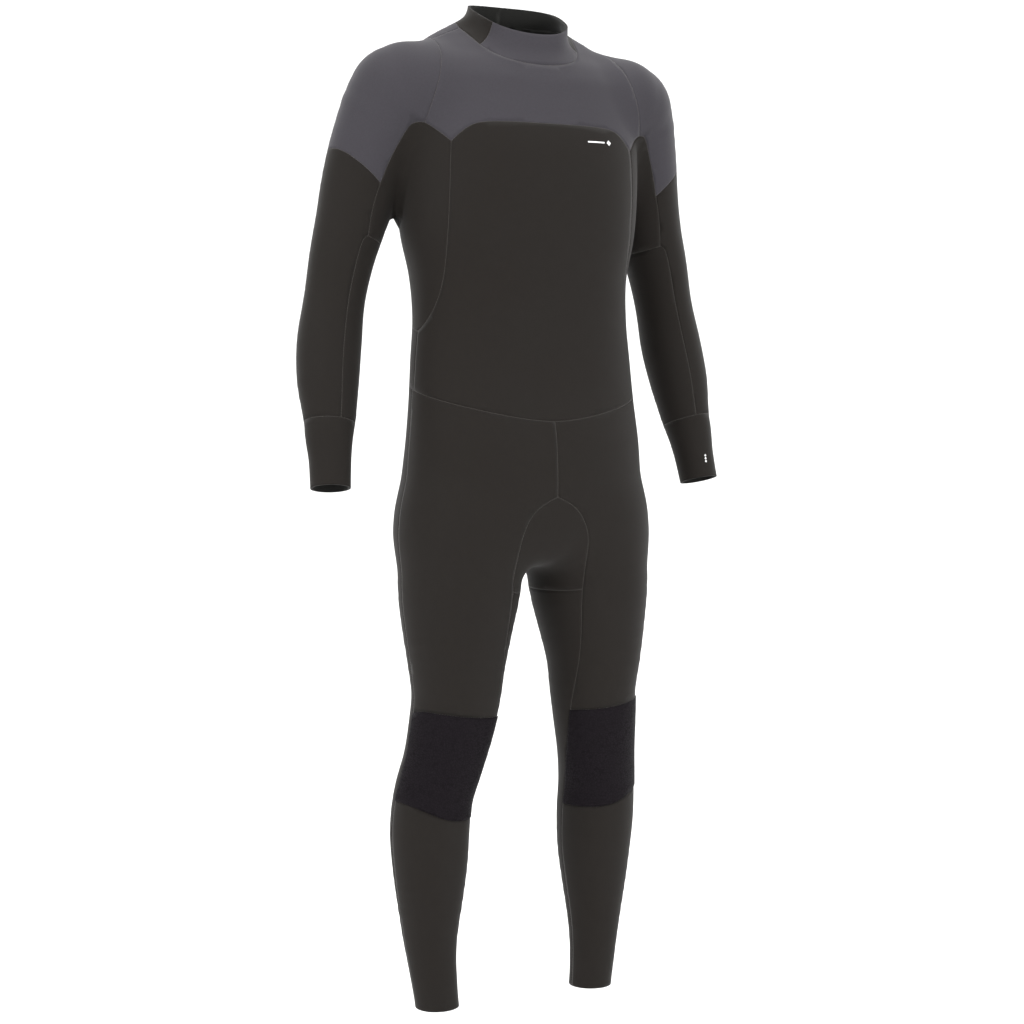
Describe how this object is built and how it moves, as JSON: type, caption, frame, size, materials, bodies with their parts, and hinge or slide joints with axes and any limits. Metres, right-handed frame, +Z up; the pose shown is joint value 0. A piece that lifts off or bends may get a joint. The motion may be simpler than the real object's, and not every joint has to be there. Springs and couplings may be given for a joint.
{
  "type": "full wetsuit",
  "caption": "Full-length neoprene wetsuit with a back zip, raglan sleeves, knee pads and a crotch gusset, shown filled out as when worn.",
  "frame": {"origin": "middle of the neck opening, at the collar's base seam", "axes": "+Z up the body, -Y is the wearer's front, +X the wearer's left"},
  "size_m": [0.6642, 0.2438, 1.4629],
  "materials": {
    "grey_neoprene": "matt knitted face on neoprene foam",
    "black_neoprene": "matt knitted face on neoprene foam",
    "knee_rubber": "matt, finely ribbed",
    "zip_tape": "woven tape",
    "zip_plastic": "moulded, satin",
    "velcro": "hook and loop"
  },
  "bodies": {
    "suit_body": {"back_body": "black_neoprene", "back_yoke_left": "grey_neoprene", "back_yoke_right": "grey_neoprene", "chest_yoke": "grey_neoprene", "collar_back_left": "black_neoprene", "collar_back_right": "black_neoprene", "collar_front": "grey_neoprene", "collar_loop_pad": "velcro", "crotch_gusset": "black_neoprene", "elbow_inner_left": "black_neoprene", "elbow_inner_right": "black_neoprene", "elbow_outer_left": "black_neoprene", "elbow_outer_right": "black_neoprene", "front_body": "black_neoprene", "knee_back_left": "black_neoprene", "knee_back_right": "black_neoprene", "knee_pad_left": "knee_rubber", "knee_pad_right": "knee_rubber", "shoulder_sleeve_left": "grey_neoprene", "shoulder_sleeve_right": "grey_neoprene", "thigh_back_left": "black_neoprene", "thigh_back_right": "black_neoprene", "thigh_front_left": "black_neoprene", "thigh_front_right": "black_neoprene", "underarm_panel_left": "black_neoprene", "underarm_panel_right": "black_neoprene", "upper_sleeve_left": "black_neoprene", "upper_sleeve_right": "black_neoprene", "zip_bottom_stop": "zip_plastic", "zip_tape_left": "zip_tape", "zip_tape_right": "zip_tape", "zip_teeth_left": "zip_plastic", "zip_teeth_right": "zip_plastic", "zip_top_stop_left": "zip_plastic", "zip_top_stop_right": "zip_plastic"},
    "forearm_left": {"cuff_left": "black_neoprene", "forearm_inner_left": "black_neoprene", "forearm_outer_left": "black_neoprene"},
    "forearm_right": {"cuff_right": "black_neoprene", "forearm_inner_right": "black_neoprene", "forearm_outer_right": "black_neoprene"},
    "lower_leg_left": {"shin_left": "black_neoprene", "calf_left": "black_neoprene"},
    "lower_leg_right": {"shin_right": "black_neoprene", "calf_right": "black_neoprene"},
    "slider": {"zip_slider": "zip_plastic"},
    "puller": {"zip_puller": "zip_plastic"},
    "tab": {"collar_tab": "velcro"}
  },
  "joints": [
    {"name": "elbow_left", "type": "hinge", "parent": "suit_body", "child": "forearm_left", "pos_m": [0.268, 0.041, -0.378], "axis": [-1, 0, 0], "range_deg": [0, 110], "deforming": ["elbow_outer_left", "elbow_inner_left"]},
    {"name": "elbow_right", "type": "hinge", "parent": "suit_body", "child": "forearm_right", "pos_m": [-0.268, 0.041, -0.378], "axis": [-1, 0, 0], "range_deg": [0, 110], "deforming": ["elbow_outer_right", "elbow_inner_right"]},
    {"name": "knee_left", "type": "hinge", "parent": "suit_body", "child": "lower_leg_left", "pos_m": [0.126, -0.011, -1.049], "axis": [1, 0, 0], "range_deg": [0, 105], "deforming": ["knee_pad_left", "knee_back_left"]},
    {"name": "knee_right", "type": "hinge", "parent": "suit_body", "child": "lower_leg_right", "pos_m": [-0.126, -0.011, -1.049], "axis": [1, 0, 0], "range_deg": [0, 105], "deforming": ["knee_pad_right", "knee_back_right"]},
    {"name": "zip_run", "type": "hinge", "parent": "suit_body", "child": "slider", "pos_m": [0, -0.484, -0.201], "axis": [-1, 0, 0], "range_deg": [0, 36]},
    {"name": "puller_flap", "type": "hinge", "parent": "slider", "child": "puller", "pos_m": [0, 0.07874, 0.00887], "axis": [1, 0, 0], "range_deg": [0, 150]},
    {"name": "collar_tab_open", "type": "hinge", "parent": "suit_body", "child": "tab", "pos_m": [0.0325, 0.0665, 0.042], "axis": [0, 0, -1], "range_deg": [0, 140]}
  ]
}
